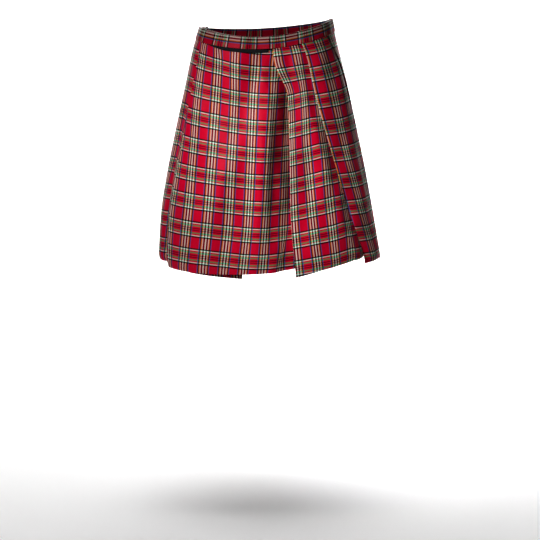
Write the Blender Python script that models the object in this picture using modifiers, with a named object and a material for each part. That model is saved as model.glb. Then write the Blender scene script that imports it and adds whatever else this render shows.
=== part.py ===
"""Scottish kilt, worn: a pleated wrap skirt with its waistband and hook-and-loop tape.

Metres, +Z up. The front faces -Y and the wearer's left is +X. The origin is the middle of the
waist opening, at the height of the middle of the waistband.

The cloth is one long wrap. Its outer free edge hangs at the wearer's right side. From there it
runs over the side pleat, the flat front apron and the knife pleats of the left side and the back,
and its inner end lies flat under the front apron. Each level of the skirt is worked out as a belt
laid round small pulleys, one at each fold, on a plan outline that widens from waist to hem.
"""
import math

import bpy
import numpy as np

# ---------------------------------------------------------------- driving dimensions (metres)
CLOTH = 0.0010                # thickness of one layer of cloth
LAYER = 0.0018                # pitch of the layers pressed together in a pleat
SEAM_GAP = 0.0003             # clearance between pieces that are sewn together
TAPE = 0.0015                 # thickness of the hook-and-loop tape

WAIST_LEVEL = 0.0204          # top edge of the waistband at the sides, before it tilts
WAIST_TILT = 0.058            # rise of the waist for each metre towards the wearer's left
WAIST_DIP = 0.033             # how far the waist dips at the middle of the front
WAIST_BACK_DIP = 0.010        # and at the middle of the back
BAND_HEIGHT = 0.027
TOP_IN_BAND = 0.003           # the skirt's top edge lies this far below the band's top edge
BAND_SHARE = 0.045            # share of the skirt's length at the band's lower edge

# Plan outline of the skirt at shares of the way from its top edge (0) to its hem (1): how far
# the cloth reaches from the middle to the wearer's right, left, front and back.
OUTLINE = (
    # share, right, left, front, back
    (0.00, 0.1470, 0.1470, 0.1100, 0.1080),
    (0.08, 0.1605, 0.1560, 0.1190, 0.1230),
    (0.25, 0.1800, 0.1790, 0.1330, 0.1460),
    (0.45, 0.2030, 0.2025, 0.1450, 0.1660),
    (0.65, 0.2240, 0.2250, 0.1520, 0.1790),
    (0.80, 0.2360, 0.2400, 0.1570, 0.1860),
    (1.00, 0.2430, 0.2590, 0.1600, 0.1900),
)
SQUARENESS = 0.08             # how much fuller than an ellipse the outline is at its corners

# Broad swells of the hanging cloth. Angles run from the wearer's right side (0 degrees) over the
# front (90), the left side (180) and the back (270).
SWELLS = (
    # angle, spread (degrees), outward at the hem, share where it starts
    (62.0, 30.0, 0.006, 0.10),
    (90.0, 14.0, -0.008, 0.20),
)

# Shares at which the pleat table gives the angle of a fold edge
STATIONS = (0.00, 0.10, 0.25, 0.50, 0.75, 1.00)
# Shares at which it gives how deep a pleat is tucked and how far its edge lies inside the outline
DEPTH_STATIONS = (0.00, 0.055, 0.12, 0.50, 1.00)
FLAT = 2 * LAYER              # depth of a pleat pressed flat: two layers under the outer one

# One row for each pleat of the front and the left side. "edge" is the angle of the fold edge and
# "cloth" the width of cloth from the fold edge before it, both at STATIONS. "lead" is the width
# over which the cloth sinks towards it (waist, hem), "tuck" its depth and "inset" the place of
# its edge inside the outline, both at DEPTH_STATIONS, "hem" the height of the hem where the cloth
# starts to sink, in the tuck and at the fold edge, "belly" how much lower it hangs at the middle
# of the panel after the pleat, and "run" the number of points on that panel.
PLEATS = (
    dict(name="side", edge=(26.0, 32.0, 31.5, 33.0, 32.0, 33.0),
         cloth=(0.185, 0.182, 0.178, 0.172, 0.160, 0.158), lead=(0.030, 0.030),
         tuck=(FLAT, FLAT, 0.0055, 0.007, 0.008), inset=(0, 0, 0, 0, 0),
         hem=(-0.505, -0.511, -0.515), belly=0.005, run=14),
    dict(name="front_1", edge=(95.0, 96.5, 105.1, 104.2, 103.2, 104.5),
         cloth=(0.258, 0.265, 0.280, 0.288, 0.310, 0.322), lead=(0.030, 0.060),
         tuck=(FLAT, FLAT, 0.0055, 0.014, 0.019), inset=(0, 0, 0, 0, 0),
         hem=(-0.521, -0.514, -0.530), belly=0.0, run=5),
    dict(name="front_2", edge=(115.5, 121.5, 123.5, 129.8, 137.0, 148.4),
         cloth=(0.172, 0.176, 0.182, 0.196, 0.204, 0.208), lead=(0.012, 0.050),
         tuck=(FLAT, FLAT, 0.0055, 0.007, 0.010), inset=(0, 0, 0, 0.006, 0.014),
         hem=(-0.496, -0.493, -0.508), belly=0.0, run=5),
    dict(name="left_1", edge=(142.0, 154.5, 165.5, 173.0, 176.0, 178.0),
         cloth=(0.170, 0.172, 0.176, 0.180, 0.184, 0.186), lead=(0.012, 0.040),
         tuck=(FLAT, FLAT, 0.0055, 0.008, 0.012), inset=(0, 0, 0, 0, 0),
         hem=(-0.503, -0.502, -0.505), belly=0.0, run=4),
)
# The knife pleats that follow, evenly spaced round the back
BACK_PLEATS = 5
BACK_LAST_EDGE = 303.0        # angle of the last fold edge
BACK_CLOTH = (0.158, 0.161, 0.167, 0.174, 0.180, 0.184)
BACK_LEAD = (0.012, 0.035)
BACK_TUCK = (FLAT, FLAT, 0.0055, 0.008, 0.012)
BACK_HEM = (-0.511, -0.508, -0.514)
BACK_RUN = 3
SIDE_SEAM_PLEAT = 4           # the side seam is hidden in this pleat, counted from 0

FREE_EDGE = -12.0             # angle of the outer free edge
FREE_EDGE_HEM = -0.505
# Where the inner end of the wrap leaves the outline, is wholly under the outer layer, has its
# seam, and ends
WRAP_LEAVES, WRAP_UNDER, WRAP_SEAM, WRAP_ENDS = 326.0, 345.0, 353.0, 438.0
WRAP_INSET = (0.0100, 0.0100, 0.0115, 0.0150, 0.0170)
# Its course: how much of the inset it has reached, its hem, and the points on to the next row
WRAP_COURSE = (
    # angle, share of the inset, hem, run
    (WRAP_LEAVES, 0.0, -0.508, 2),
    (WRAP_UNDER, 1.0, -0.508, 1),
    (WRAP_SEAM, 1.0, -0.512, 4),
    (378.0, 1.0, -0.512, 5),
    (410.0, 1.0, -0.525, 4),
    (WRAP_ENDS, 1.0, -0.535, 0),
)

# Shares of the rings that the skirt is lofted through
LEVELS = (0.0, 0.025, 0.05, 0.10, 0.16, 0.23, 0.31, 0.41, 0.52, 0.64, 0.76, 0.88, 1.0)

# Rounding of the folds (centre-line radius) at the waist and at the hem
FOLD_RADIUS = (LAYER / 2, 0.0014)
VALLEY_RADIUS = (LAYER / 2, 0.0040)
GUIDE_SHARE = 0.5             # radius of the bend where cloth starts to sink, by its lead
VALLEY_ROOM = 0.35            # largest radius of the bottom of a tuck, by its depth
SLIDE = 0.0018                # more depth under a fold edge at the hem, where layers hang unevenly
DEEPEST = 0.97                # deepest a tuck can lie, by what the width of its cloth allows
ARC_POINTS = 5
STOPS_A_PLEAT = 4             # pulleys of one pleat
SINKING, TUCKED, BOTTOM, EDGE = range(STOPS_A_PLEAT)

# The band is a folded strip over the skirt's top edge: places of its two walls from the outline
BAND_EASE = 0.0003            # room for the facets of its outer wall
BAND_SLACK = 0.0010           # and of its inner wall, behind the slanting layers of the pleats
BAND_OUT = CLOTH + SEAM_GAP + BAND_EASE
BAND_IN = -FLAT - CLOTH - SEAM_GAP - BAND_SLACK
BAND_IN_UNDER = -CLOTH - SEAM_GAP - BAND_SLACK
BAND_STEP = 5.0               # degrees between its sections
BAND_THINS = 352.0            # from WRAP_UNDER to here it draws in to a single layer

# The hook-and-loop tape on the front panel, partly under the band's lower edge
TAPE_FROM, TAPE_TO = 34.0, 92.0          # its ends (degrees)
TAPE_WIDTH = 0.018
TAPE_SHOWS = 0.0075                      # how far it reaches below the band
TAPE_FULL = 62.0                         # angle from which it shows in full
TAPE_POINTS = 16
TAPE_LEVELS = 4                          # levels of the skirt that it lies on
TAPE_CLEAR = 8.0                         # degrees over which the band eases out over it

RED = (0.55, 0.004, 0.025, 1.0)
DARK_RED = (0.40, 0.004, 0.020, 1.0)
BLACK = (0.010, 0.010, 0.012, 1.0)


# ---------------------------------------------------------------- small maths
def smooth(x):
    """Ease from 0 to 1 as x runs from 0 to 1."""
    x = min(max(x, 0.0), 1.0)
    return x * x * (3.0 - 2.0 * x)


def blend(pair, share):
    """Value between the waist's and the hem's."""
    return pair[0] + (pair[1] - pair[0]) * share


def curve(xs, ys, x):
    """Smooth curve through the given values, with no overshoot."""
    xs, ys = np.asarray(xs, float), np.asarray(ys, float)
    run = np.diff(xs)
    slope = np.diff(ys) / run
    rate = np.concatenate([[slope[0]], np.zeros(len(xs) - 2), [slope[-1]]])
    for i in range(1, len(xs) - 1):
        if slope[i - 1] * slope[i] > 0:
            rate[i] = 2 * slope[i - 1] * slope[i] / (slope[i - 1] + slope[i])
    i = int(np.clip(np.searchsorted(xs, x) - 1, 0, len(xs) - 2))
    t = (x - xs[i]) / run[i]
    return float((1 + 2 * t) * (1 - t) ** 2 * ys[i] + t * (1 - t) ** 2 * run[i] * rate[i]
                 + t * t * (3 - 2 * t) * ys[i + 1] + t * t * (t - 1) * run[i] * rate[i + 1])


# ---------------------------------------------------------------- plan outline
class Ring:
    """The skirt's plan outline at one share of its length, measured along the cloth."""

    def __init__(self, share):
        self.share = share
        shares = [row[0] for row in OUTLINE]
        right, left, front, back = (curve(shares, [row[k] for row in OUTLINE], share)
                                    for k in range(1, 5))
        self.angles = np.arange(-40.0, 480.0, 0.5)
        turn = np.radians(self.angles)
        cos, sin = np.cos(turn), np.sin(turn)
        full = 1 + SQUARENESS * np.sin(2 * turn) ** 2
        x = -np.where(cos > 0, right, left) * cos * full
        y = -np.where(sin > 0, front, back) * sin * full
        out = self.swell()
        nx, ny = self.normals(x, y)
        self.x, self.y = x + nx * out, y + ny * out
        self.nx, self.ny = self.normals(self.x, self.y)
        steps = np.hypot(np.diff(self.x), np.diff(self.y))
        length = np.concatenate([[0.0], np.cumsum(steps)])
        self.s = length - np.interp(0.0, self.angles, length)

    def swell(self):
        """How far each point of the outline is pushed outward."""
        out = np.zeros_like(self.angles)
        for angle, spread, outward, start in SWELLS:
            grown = smooth((self.share - start) / (1 - start))
            away = (self.angles - angle + 180) % 360 - 180
            out += outward * grown * np.exp(-(1.5 * away / spread) ** 2)
        return out

    @staticmethod
    def normals(x, y):
        """Outward unit normals of a line that runs right, front, left, back."""
        tx, ty = np.gradient(x), np.gradient(y)
        size = np.hypot(tx, ty)
        return ty / size, -tx / size

    def along(self, angle):
        """Distance along the outline at an angle."""
        return float(np.interp(angle, self.angles, self.s))

    def angle(self, s):
        """Angle at a distance along the outline."""
        return float(np.interp(s, self.s, self.angles))

    def place(self, s, out):
        """Plan position at a distance along the outline and a distance outside it."""
        return (float(np.interp(s, self.s, self.x) + out * np.interp(s, self.s, self.nx)),
                float(np.interp(s, self.s, self.y) + out * np.interp(s, self.s, self.ny)))


TOP_RING = Ring(0.0)


def band_top(angle):
    """Height of the waistband's top edge."""
    turn = math.radians(angle)
    x = TOP_RING.place(TOP_RING.along(angle), 0.0)[0]
    dip = WAIST_DIP if math.sin(turn) > 0 else WAIST_BACK_DIP
    return WAIST_LEVEL + WAIST_TILT * x - dip * math.sin(turn) ** 2


# ---------------------------------------------------------------- pleats
def pleat_rows(ring):
    """Every pleat at this ring, as distances along the outline and depths inside it."""
    rows = []
    share = ring.share
    before = ring.along(FREE_EDGE)
    for pleat in PLEATS:
        edge = ring.along(curve(STATIONS, pleat["edge"], share))
        inset = curve(DEPTH_STATIONS, pleat["inset"], share)
        row = tuck(share, before, edge, pleat["cloth"], pleat["lead"], pleat["tuck"])
        rows.append(dict(row, inset=inset, hem=pleat["hem"], belly=pleat["belly"],
                         run=pleat["run"]))
        before = edge
    first, last = before, ring.along(BACK_LAST_EDGE)
    for k in range(1, BACK_PLEATS + 1):
        edge = first + (last - first) * k / BACK_PLEATS
        row = tuck(share, before, edge, BACK_CLOTH, BACK_LEAD, BACK_TUCK)
        rows.append(dict(row, inset=0.0, hem=BACK_HEM, belly=0.0, run=BACK_RUN))
        before = edge
    return rows


def tuck(share, before, edge, cloth, lead, depth):
    """One pleat: where its cloth starts to sink, and where the bottom of its tuck lies.

    The cloth between two fold edges has a given width, so the bottom of the tuck lies on an
    ellipse with the start of the sinking stretch and the fold edge as its two foci.
    """
    start = edge - blend(lead, share)
    rest = curve(STATIONS, cloth, share) - (start - before)
    half_gap = (edge - start) / 2
    reach = math.sqrt(max(rest * rest / 4 - half_gap ** 2, 1e-8))
    depth = min(curve(DEPTH_STATIONS, depth, share), DEEPEST * reach)
    bottom = (start + edge) / 2 + rest / 2 * math.sqrt(1 - (depth / reach) ** 2)
    return dict(start=start, edge=edge, bottom=bottom, depth=depth)


def belt(stops):
    """Lay a belt round pulleys.

    Each stop is (centre, radius, arc points, run points). A positive radius turns the belt left
    and a negative one right. Returns the points and the index of each stop's first point.
    """
    runs = []
    for (c1, r1, _, _), (c2, r2, _, _) in zip(stops, stops[1:]):
        gap = math.hypot(c2[0] - c1[0], c2[1] - c1[1])
        lean = math.asin(min(max((r1 - r2) / gap, -1.0), 1.0))
        heading = math.atan2(c2[1] - c1[1], c2[0] - c1[0]) + lean
        runs.append((heading, touch(c2, r2, heading)))
    points, firsts = [], []
    for i, (centre, radius, arc, run) in enumerate(stops):
        arrives = runs[max(i - 1, 0)][0]
        leaves = runs[min(i, len(runs) - 1)][0]
        turn = (leaves - arrives + math.pi) % (2 * math.pi) - math.pi
        if radius > 0 and turn < -1.0:
            turn += 2 * math.pi
        if radius < 0 and turn > 1.0:
            turn -= 2 * math.pi
        firsts.append(len(points))
        for j in range(arc):
            heading = arrives + turn * (j / (arc - 1) if arc > 1 else 0.5)
            points.append(touch(centre, radius, heading))
        if i < len(runs):
            begin, end = points[-1], runs[i][1]
            for j in range(1, run + 1):
                f = j / (run + 1)
                points.append((begin[0] + (end[0] - begin[0]) * f,
                               begin[1] + (end[1] - begin[1]) * f))
    return points, firsts


def touch(centre, radius, heading):
    """Where a belt with this heading touches a pulley."""
    return (centre[0] + radius * math.sin(heading), centre[1] - radius * math.cos(heading))


class Level:
    """One level of the whole wrap: its points, its hem heights and where its pieces end."""

    def __init__(self, share):
        self.ring = Ring(share)
        fold, valley = blend(FOLD_RADIUS, share), blend(VALLEY_RADIUS, share)
        stops = [((self.ring.along(FREE_EDGE), 0.0), 0.0, 1, 4)]
        hems, bellies = [FREE_EDGE_HEM], [0.0]
        for row in pleat_rows(self.ring):
            stops += self.pleat_stops(row, fold, valley, SLIDE * share)
            start_hem, tuck_hem, edge_hem = row["hem"]
            hems += [start_hem, tuck_hem, tuck_hem, edge_hem]
            bellies += [0.0, 0.0, 0.0, row["belly"]]
        inset = curve(DEPTH_STATIONS, WRAP_INSET, share)
        for angle, reached, hem, run in WRAP_COURSE:
            stops.append(((self.ring.along(angle), -inset * reached), 0.0, 1, run))
            hems.append(hem)
            bellies.append(0.0)
        self.points, self.firsts = belt(stops)
        self.hems = self.hem_heights(stops, hems, bellies)

    def first(self, pleat, part):
        """Index of the first point of one of a pleat's pulleys."""
        return self.firsts[1 + STOPS_A_PLEAT * pleat + part]

    def hem_heights(self, stops, hems, bellies):
        """Height of the hem under each point: level round a fold and eased between folds."""
        heights = []
        for i, (_, _, arc, run) in enumerate(stops):
            heights += [hems[i]] * arc
            for j in range(1, run + 1):
                f = j / (run + 1)
                heights.append(blend((hems[i], hems[i + 1]), f) - bellies[i] * 4 * f * (1 - f))
        return heights

    @staticmethod
    def pleat_stops(row, fold, valley, slide):
        """The four pulleys of one pleat: sinking, passing under the edge, bottom and edge."""
        start, edge, bottom = row["start"], row["edge"], row["bottom"]
        depth, inset = row["depth"], row["inset"]
        low = -inset - depth
        valley = min(valley, VALLEY_ROOM * (depth - LAYER / 2))
        guide = GUIDE_SHARE * (edge - start)
        under = min(edge - fold, bottom - 2 * valley)
        sunk = max(-inset - FLAT - slide, low)
        on_line = (under - start) / max(bottom - start, 1e-6) * low
        return [((start, -guide), -guide, 2, 1),
                ((under, min(on_line, sunk)), 0.0, 1, 2),
                ((bottom - valley, low + valley), valley, ARC_POINTS, 2),
                ((edge + fold, -inset - fold), -fold, ARC_POINTS, row["run"])]

    def place(self, index):
        """World position of one of its points."""
        s, out = self.points[index]
        x, y = self.ring.place(s, out)
        top = band_top(self.ring.angle(s)) - TOP_IN_BAND
        return x, y, top + (self.hems[index] - top) * self.ring.share


# ---------------------------------------------------------------- meshes
def collection(name):
    """A new collection in the scene."""
    group = bpy.data.collections.new(name)
    bpy.context.scene.collection.children.link(group)
    return group


def material(name, colour, roughness):
    """A plain cloth finish."""
    finish = bpy.data.materials.new(name)
    finish.use_nodes = True
    shader = finish.node_tree.nodes["Principled BSDF"]
    shader.inputs["Base Color"].default_value = colour
    shader.inputs["Roughness"].default_value = roughness
    shader.inputs["Metallic"].default_value = 0.0
    return finish


def cloth_piece(name, rows, thickness, finish, group):
    """A piece of cloth: a grid of points, given its thickness by Solidify.

    Rows run from top to bottom and each row in the direction of the wrap, so the faces point out.
    """
    across = len(rows[0])
    verts = [point for row in rows for point in row]
    faces = []
    for i in range(len(rows) - 1):
        for j in range(across - 1):
            a = i * across + j
            faces.append((a, a + across, a + across + 1, a + 1))
    mesh = bpy.data.meshes.new(name)
    mesh.from_pydata(verts, [], faces)
    mesh.shade_smooth()
    mesh.materials.append(finish)
    piece = bpy.data.objects.new(name, mesh)
    group.objects.link(piece)
    wall = piece.modifiers.new("wall", "SOLIDIFY")
    wall.thickness = thickness
    wall.offset = 0.0
    wall.use_even_offset = True
    return piece


def skirt_panels(levels, group):
    """The three widths of the skirt, cut apart at their two hidden seams."""
    seam = levels[0].first(SIDE_SEAM_PLEAT, BOTTOM) + ARC_POINTS + 1
    seam_row = [row[0] for row in WRAP_COURSE].index(WRAP_SEAM)
    wrap_seam = levels[0].firsts[seam_row - len(WRAP_COURSE)]
    red, dark = material("tartan", RED, 0.6), material("tartan_inside", DARK_RED, 0.65)
    spans = (("front_panel", 0, seam, False, True, red),
             ("back_panel", seam, wrap_seam, True, True, red),
             ("under_apron", wrap_seam, len(levels[0].points) - 1, True, False, dark))
    for name, first, last, trim_first, trim_last, finish in spans:
        rows = [[level.place(i) for i in range(first, last + 1)] for level in levels]
        for row in rows:
            if trim_first:
                row[0] = step_in(row[0], row[1])
            if trim_last:
                row[-1] = step_in(row[-1], row[-2])
        cloth_piece(name, rows, CLOTH, finish, group)


def step_in(point, towards):
    """Move an end point towards its neighbour, to leave the gap at a seam.

    A seam can run down the cloth at a slant, so each side moves by the whole gap.
    """
    point, towards = np.array(point), np.array(towards)
    way = towards - point
    return tuple(point + way / np.linalg.norm(way) * SEAM_GAP)


def waistband(group):
    """The folded strip: outer wall, fold and inner wall, round the whole wrap."""
    drop = BAND_HEIGHT - TOP_IN_BAND
    rings = {share: Ring(share) for share in (0.0, BAND_SHARE / 2, BAND_SHARE)}
    columns = []
    for angle in band_angles():
        leaves = min(max((angle - WRAP_LEAVES) / (WRAP_UNDER - WRAP_LEAVES), 0.0), 1.0)
        thins = min(max((angle - WRAP_UNDER) / (BAND_THINS - WRAP_UNDER), 0.0), 1.0)
        middle = -WRAP_INSET[0] * leaves
        outer = middle + BAND_OUT + (TAPE + SEAM_GAP) * over_tape(angle)
        inner = middle + BAND_IN + (BAND_IN_UNDER - BAND_IN) * thins
        top = band_top(angle) - CLOTH / 2
        section = ((outer, BAND_SHARE), (outer, BAND_SHARE / 2), (outer, 0.0),
                   (outer - CLOTH, None), (inner + CLOTH, None), (inner, 0.0),
                   (inner, BAND_SHARE / 2), (inner, BAND_SHARE))
        column = []
        for out, share in section:
            ring = rings[share or 0.0]
            z = top if share is None else band_top(angle) - TOP_IN_BAND - drop * share / BAND_SHARE
            column.append(ring.place(ring.along(angle), out) + (z,))
        columns.append(column)
    rows = [list(row) for row in zip(*columns)]
    cloth_piece("waistband", [row[::-1] for row in rows], CLOTH,
                material("tartan_band", RED, 0.6), group)


def band_angles():
    """Angles of the band's sections, with one at every place where its course changes."""
    stops = (FREE_EDGE, TAPE_FROM - TAPE_CLEAR, TAPE_FROM, TAPE_TO, TAPE_TO + TAPE_CLEAR,
             WRAP_LEAVES, WRAP_UNDER, BAND_THINS, WRAP_ENDS)
    angles = [FREE_EDGE]
    for first, last in zip(stops, stops[1:]):
        count = math.ceil((last - first) / BAND_STEP)
        angles += [first + (last - first) * k / count for k in range(1, count + 1)]
    return angles


def over_tape(angle):
    """How far the band eases out over the tape: 1 over it and 0 away from it."""
    before = smooth((angle - (TAPE_FROM - TAPE_CLEAR)) / TAPE_CLEAR)
    after = smooth(((TAPE_TO + TAPE_CLEAR) - angle) / TAPE_CLEAR)
    return before * after


def closure_strip(levels, group):
    """The tape, laid on the front panel's own points and moved out."""
    out = CLOTH / 2 + SEAM_GAP + TAPE / 2
    angles = np.linspace(TAPE_FROM, TAPE_TO, TAPE_POINTS)
    columns = []
    for angle in angles:
        shows = TAPE_SHOWS * smooth((angle - TAPE_FROM) / (TAPE_FULL - TAPE_FROM))
        low = band_top(angle) - BAND_HEIGHT - shows
        columns.append([on_panel(levels, angle, low + TAPE_WIDTH * f, out)
                        for f in (1.0, 0.66, 0.33, 0.0)])
    rows = [list(row) for row in zip(*columns)]
    cloth_piece("closure_strip", rows, TAPE, material("tape", BLACK, 0.9), group)


def on_panel(levels, angle, height, out):
    """A point a given distance outside the front panel's cloth, at an angle and a height."""
    found = []
    for level in levels[:TAPE_LEVELS]:
        first, last = level.first(0, EDGE), level.first(1, TUCKED)
        s = level.ring.along(angle)
        places = [level.points[i][0] for i in range(first, last + 1)]
        depth = np.interp(s, places, [level.points[i][1] for i in range(first, last + 1)])
        x, y = level.ring.place(s, depth + out)
        hem = np.interp(s, places, level.hems[first:last + 1])
        top = band_top(level.ring.angle(s)) - TOP_IN_BAND
        found.append((x, y, top + (hem - top) * level.ring.share))
    heights = [point[2] for point in found][::-1]
    x, y = (np.interp(height, heights, [point[k] for point in found][::-1]) for k in (0, 1))
    return float(x), float(y), float(height)


def main():
    """Build the kilt."""
    for thing in list(bpy.data.objects):
        bpy.data.objects.remove(thing, do_unlink=True)
    group = collection("scottish_kilt")
    levels = [Level(share) for share in LEVELS]
    skirt_panels(levels, group)
    waistband(group)
    closure_strip(levels, group)


main()
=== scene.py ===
"""Looks of a worn Scottish kilt: its tartan cloth, waistband, hem, sewing and closing strip.

Metres, +Z up. The front faces -Y and the wearer's left is +X. The cloth is one long wrap, whose
outer free edge hangs at the wearer's right side. Each level of the skirt is a belt laid round
small pulleys, one at each fold, on a plan outline that widens from the waist to the hem. The
tartan is counted in threads: every panel carries its own place in the sett, warp and weft.
"""
import logging
import math
from dataclasses import dataclass
from enum import Enum
from typing import Sequence

import bpy
import numpy as np
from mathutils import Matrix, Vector


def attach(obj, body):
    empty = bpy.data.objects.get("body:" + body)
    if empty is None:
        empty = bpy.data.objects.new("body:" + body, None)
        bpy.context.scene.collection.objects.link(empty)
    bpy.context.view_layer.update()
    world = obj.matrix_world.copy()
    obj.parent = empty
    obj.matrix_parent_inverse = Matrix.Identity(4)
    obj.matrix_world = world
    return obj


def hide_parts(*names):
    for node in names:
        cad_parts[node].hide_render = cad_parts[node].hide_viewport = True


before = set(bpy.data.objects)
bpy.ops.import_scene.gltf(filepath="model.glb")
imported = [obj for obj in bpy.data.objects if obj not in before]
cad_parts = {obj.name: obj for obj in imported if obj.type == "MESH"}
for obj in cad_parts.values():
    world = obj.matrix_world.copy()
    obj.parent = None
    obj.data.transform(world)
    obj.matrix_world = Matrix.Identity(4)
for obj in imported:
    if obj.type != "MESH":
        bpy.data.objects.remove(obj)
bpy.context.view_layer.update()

LOG = logging.getLogger("kilt")
BODY = "root"
WEAVE_MAP = "weave"

Point = tuple[float, float, float]
Plan = tuple[float, float]
Colour = tuple[float, float, float]
Piece = bpy.types.Object
Material = bpy.types.Material
Node = bpy.types.Node
Socket = bpy.types.NodeSocket


# ---------------------------------------------------------------- small maths
def smooth(x: float) -> float:
    """Ease from 0 to 1 as x runs from 0 to 1."""
    x = min(max(x, 0.0), 1.0)
    return x * x * (3.0 - 2.0 * x)


def blend(pair: Sequence[float], share: float) -> float:
    """Value at a share of the way between a pair, such as the waist's and the hem's."""
    return pair[0] + (pair[1] - pair[0]) * share


def running(steps: np.ndarray) -> np.ndarray:
    """Running total of the steps, from 0."""
    return np.concatenate([[0.0], np.cumsum(steps)])


def curve(xs: Sequence[float], ys: Sequence[float], x: float) -> float:
    """Smooth curve through the given values, with no overshoot.

    Args:
        xs: Places of the values, rising.
        ys: The values.
        x: Where to read the curve.

    Returns:
        The curve's value.
    """
    places, values = np.asarray(xs, float), np.asarray(ys, float)
    run = np.diff(places)
    slope = np.diff(values) / run
    rate = np.concatenate([[slope[0]], np.zeros(len(places) - 2), [slope[-1]]])
    for i in range(1, len(places) - 1):
        if slope[i - 1] * slope[i] > 0:
            rate[i] = 2 * slope[i - 1] * slope[i] / (slope[i - 1] + slope[i])
    i = int(np.clip(np.searchsorted(places, x) - 1, 0, len(places) - 2))
    t = (x - places[i]) / run[i]
    return float((1 + 2 * t) * (1 - t) ** 2 * values[i] + t * (1 - t) ** 2 * run[i] * rate[i]
                 + t * t * (3 - 2 * t) * values[i + 1] + t * t * (t - 1) * run[i] * rate[i + 1])


# ---------------------------------------------------------------- the cut
NO_DEPTH = (0.0,) * 5            # none at any of the depth stations


@dataclass(frozen=True)
class Pleat:
    """One knife pleat, with its columns given at the cut's stations.

    Angles run from the wearer's right side (0 degrees) over the front (90) to the left (180).
    """

    name: str
    edge: tuple[float, ...]      # angle of the fold edge
    cloth: tuple[float, ...]     # width of cloth from the fold edge before it
    lead: tuple[float, float]    # width over which the cloth sinks towards it (waist, hem)
    tuck: tuple[float, ...]      # depth of the tuck, at the depth stations
    hem: tuple[float, ...]       # heights: where the cloth sinks, in the tuck and at the edge
    run: int                     # points on the next panel
    belly: float = 0.0           # how much lower the next panel hangs at its middle
    inset: tuple[float, ...] = NO_DEPTH         # its edge inside the outline, as the tuck
    gape: tuple[float, ...] = NO_DEPTH          # least depth under its edge, as the tuck
    setts: tuple[float, ...] | None = None      # in the tartan at its edge, at sett stations
    guide: float = 0.5           # radius at which the cloth turns inward, as a share of the lead


@dataclass(frozen=True)
class Thread:
    """A white warp line that is followed from the waist to the hem."""

    panel: int                   # the panel it runs on, counted by the pleat edge before it
    sett: float                  # its place in the tartan
    angle: tuple[float, ...]     # where it lies, at the cut's stations


@dataclass(frozen=True)
class Crease:
    """A soft trough (negative depth) or ridge that runs down or across the cloth."""

    top: float                   # angle at its upper end
    bottom: float                # angle at its lower end
    first: float                 # share of the skirt's length where it begins
    last: float                  # and where it has died out
    width: float                 # half width, metres
    depth: float                 # outward height, metres
    bow: float = 0.0             # how far its middle bends sideways, degrees


SKIRT_LENGTH = 0.51              # nominal length of cloth from the top edge to the hem
CLOTH = 0.0010
WALL = 0.9 * CLOTH               # the wall that each piece of cloth gets
LAYER = 0.0018                   # pitch of the layers pressed together in a pleat
FLAT = 2 * LAYER
SEAM_GAP = 0.0003
STATIONS = (0.00, 0.10, 0.25, 0.50, 0.75, 1.00)
DEPTH_STATIONS = (0.00, 0.055, 0.12, 0.50, 1.00)
SETT_STATIONS = (0.00, 0.50, 1.00)
FIRST_SETT_STATIONS = (0.00, 0.70, 1.00)   # of the first pleat
DEEPEST = 0.97                   # the most of its cloth's reach that a tuck takes in depth

OUTLINE = (
    # share, right, left, front, back
    (0.00, 0.1470, 0.1470, 0.1100, 0.1080),
    (0.08, 0.1605, 0.1560, 0.1190, 0.1230),
    (0.25, 0.1800, 0.1790, 0.1330, 0.1460),
    (0.45, 0.2030, 0.2025, 0.1450, 0.1660),
    (0.65, 0.2240, 0.2250, 0.1520, 0.1790),
    (0.80, 0.2360, 0.2400, 0.1570, 0.1860),
    (1.00, 0.2430, 0.2590, 0.1600, 0.1900),
)
SQUARENESS = 0.08
SWELLS = (
    # angle, spread (degrees), outward at the hem, share where it starts
    (62.0, 30.0, 0.006, 0.10),
    (90.0, 14.0, -0.008, 0.20),
)
PLEATS = (
    Pleat("side", edge=(26.0, 32.0, 31.5, 33.0, 32.0, 33.0),
          cloth=(0.185, 0.182, 0.178, 0.172, 0.160, 0.158), lead=(0.030, 0.030),
          tuck=(FLAT, FLAT, 0.0055, 0.007, 0.008),
          hem=(-0.505, -0.511, -0.515), run=44, belly=0.005, setts=(-0.26, -1.10, -1.10)),
    Pleat("front_1", edge=(95.0, 96.5, 105.1, 104.2, 103.2, 104.5),
          cloth=(0.258, 0.266, 0.290, 0.322, 0.350, 0.358), lead=(0.034, 0.062),
          tuck=(FLAT, FLAT, 0.0135, 0.040, 0.034),
          hem=(-0.521, -0.514, -0.530), run=18, setts=(6.78, 6.84, 6.90),
          gape=(0, 0, 0.0105, 0.037, 0.030), guide=0.15),
    Pleat("front_2", edge=(115.5, 121.5, 123.5, 129.8, 137.0, 148.4),
          cloth=(0.172, 0.176, 0.182, 0.196, 0.204, 0.208), lead=(0.012, 0.050),
          tuck=(FLAT, FLAT, 0.0055, 0.007, 0.010), inset=(0, 0, 0, 0.006, 0.014),
          hem=(-0.496, -0.493, -0.508), run=18, setts=(11.11, 11.14, 11.38)),
    Pleat("left_1", edge=(142.0, 154.5, 165.5, 173.0, 176.0, 178.0),
          cloth=(0.170, 0.172, 0.176, 0.180, 0.184, 0.186), lead=(0.012, 0.040),
          tuck=(FLAT, FLAT, 0.0055, 0.008, 0.012),
          hem=(-0.503, -0.502, -0.505), run=16),
)
BACK_PLEATS = 5
BACK_LAST_EDGE = 303.0
BACK = Pleat("back", edge=(), cloth=(0.158, 0.161, 0.167, 0.174, 0.180, 0.184),
             lead=(0.012, 0.035), tuck=(FLAT, FLAT, 0.0055, 0.008, 0.012),
             hem=(-0.511, -0.508, -0.514), run=14)
SIDE_SEAM_PLEAT = 4
FREE_EDGE = -12.0
FREE_EDGE_HEM = -0.505
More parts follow.
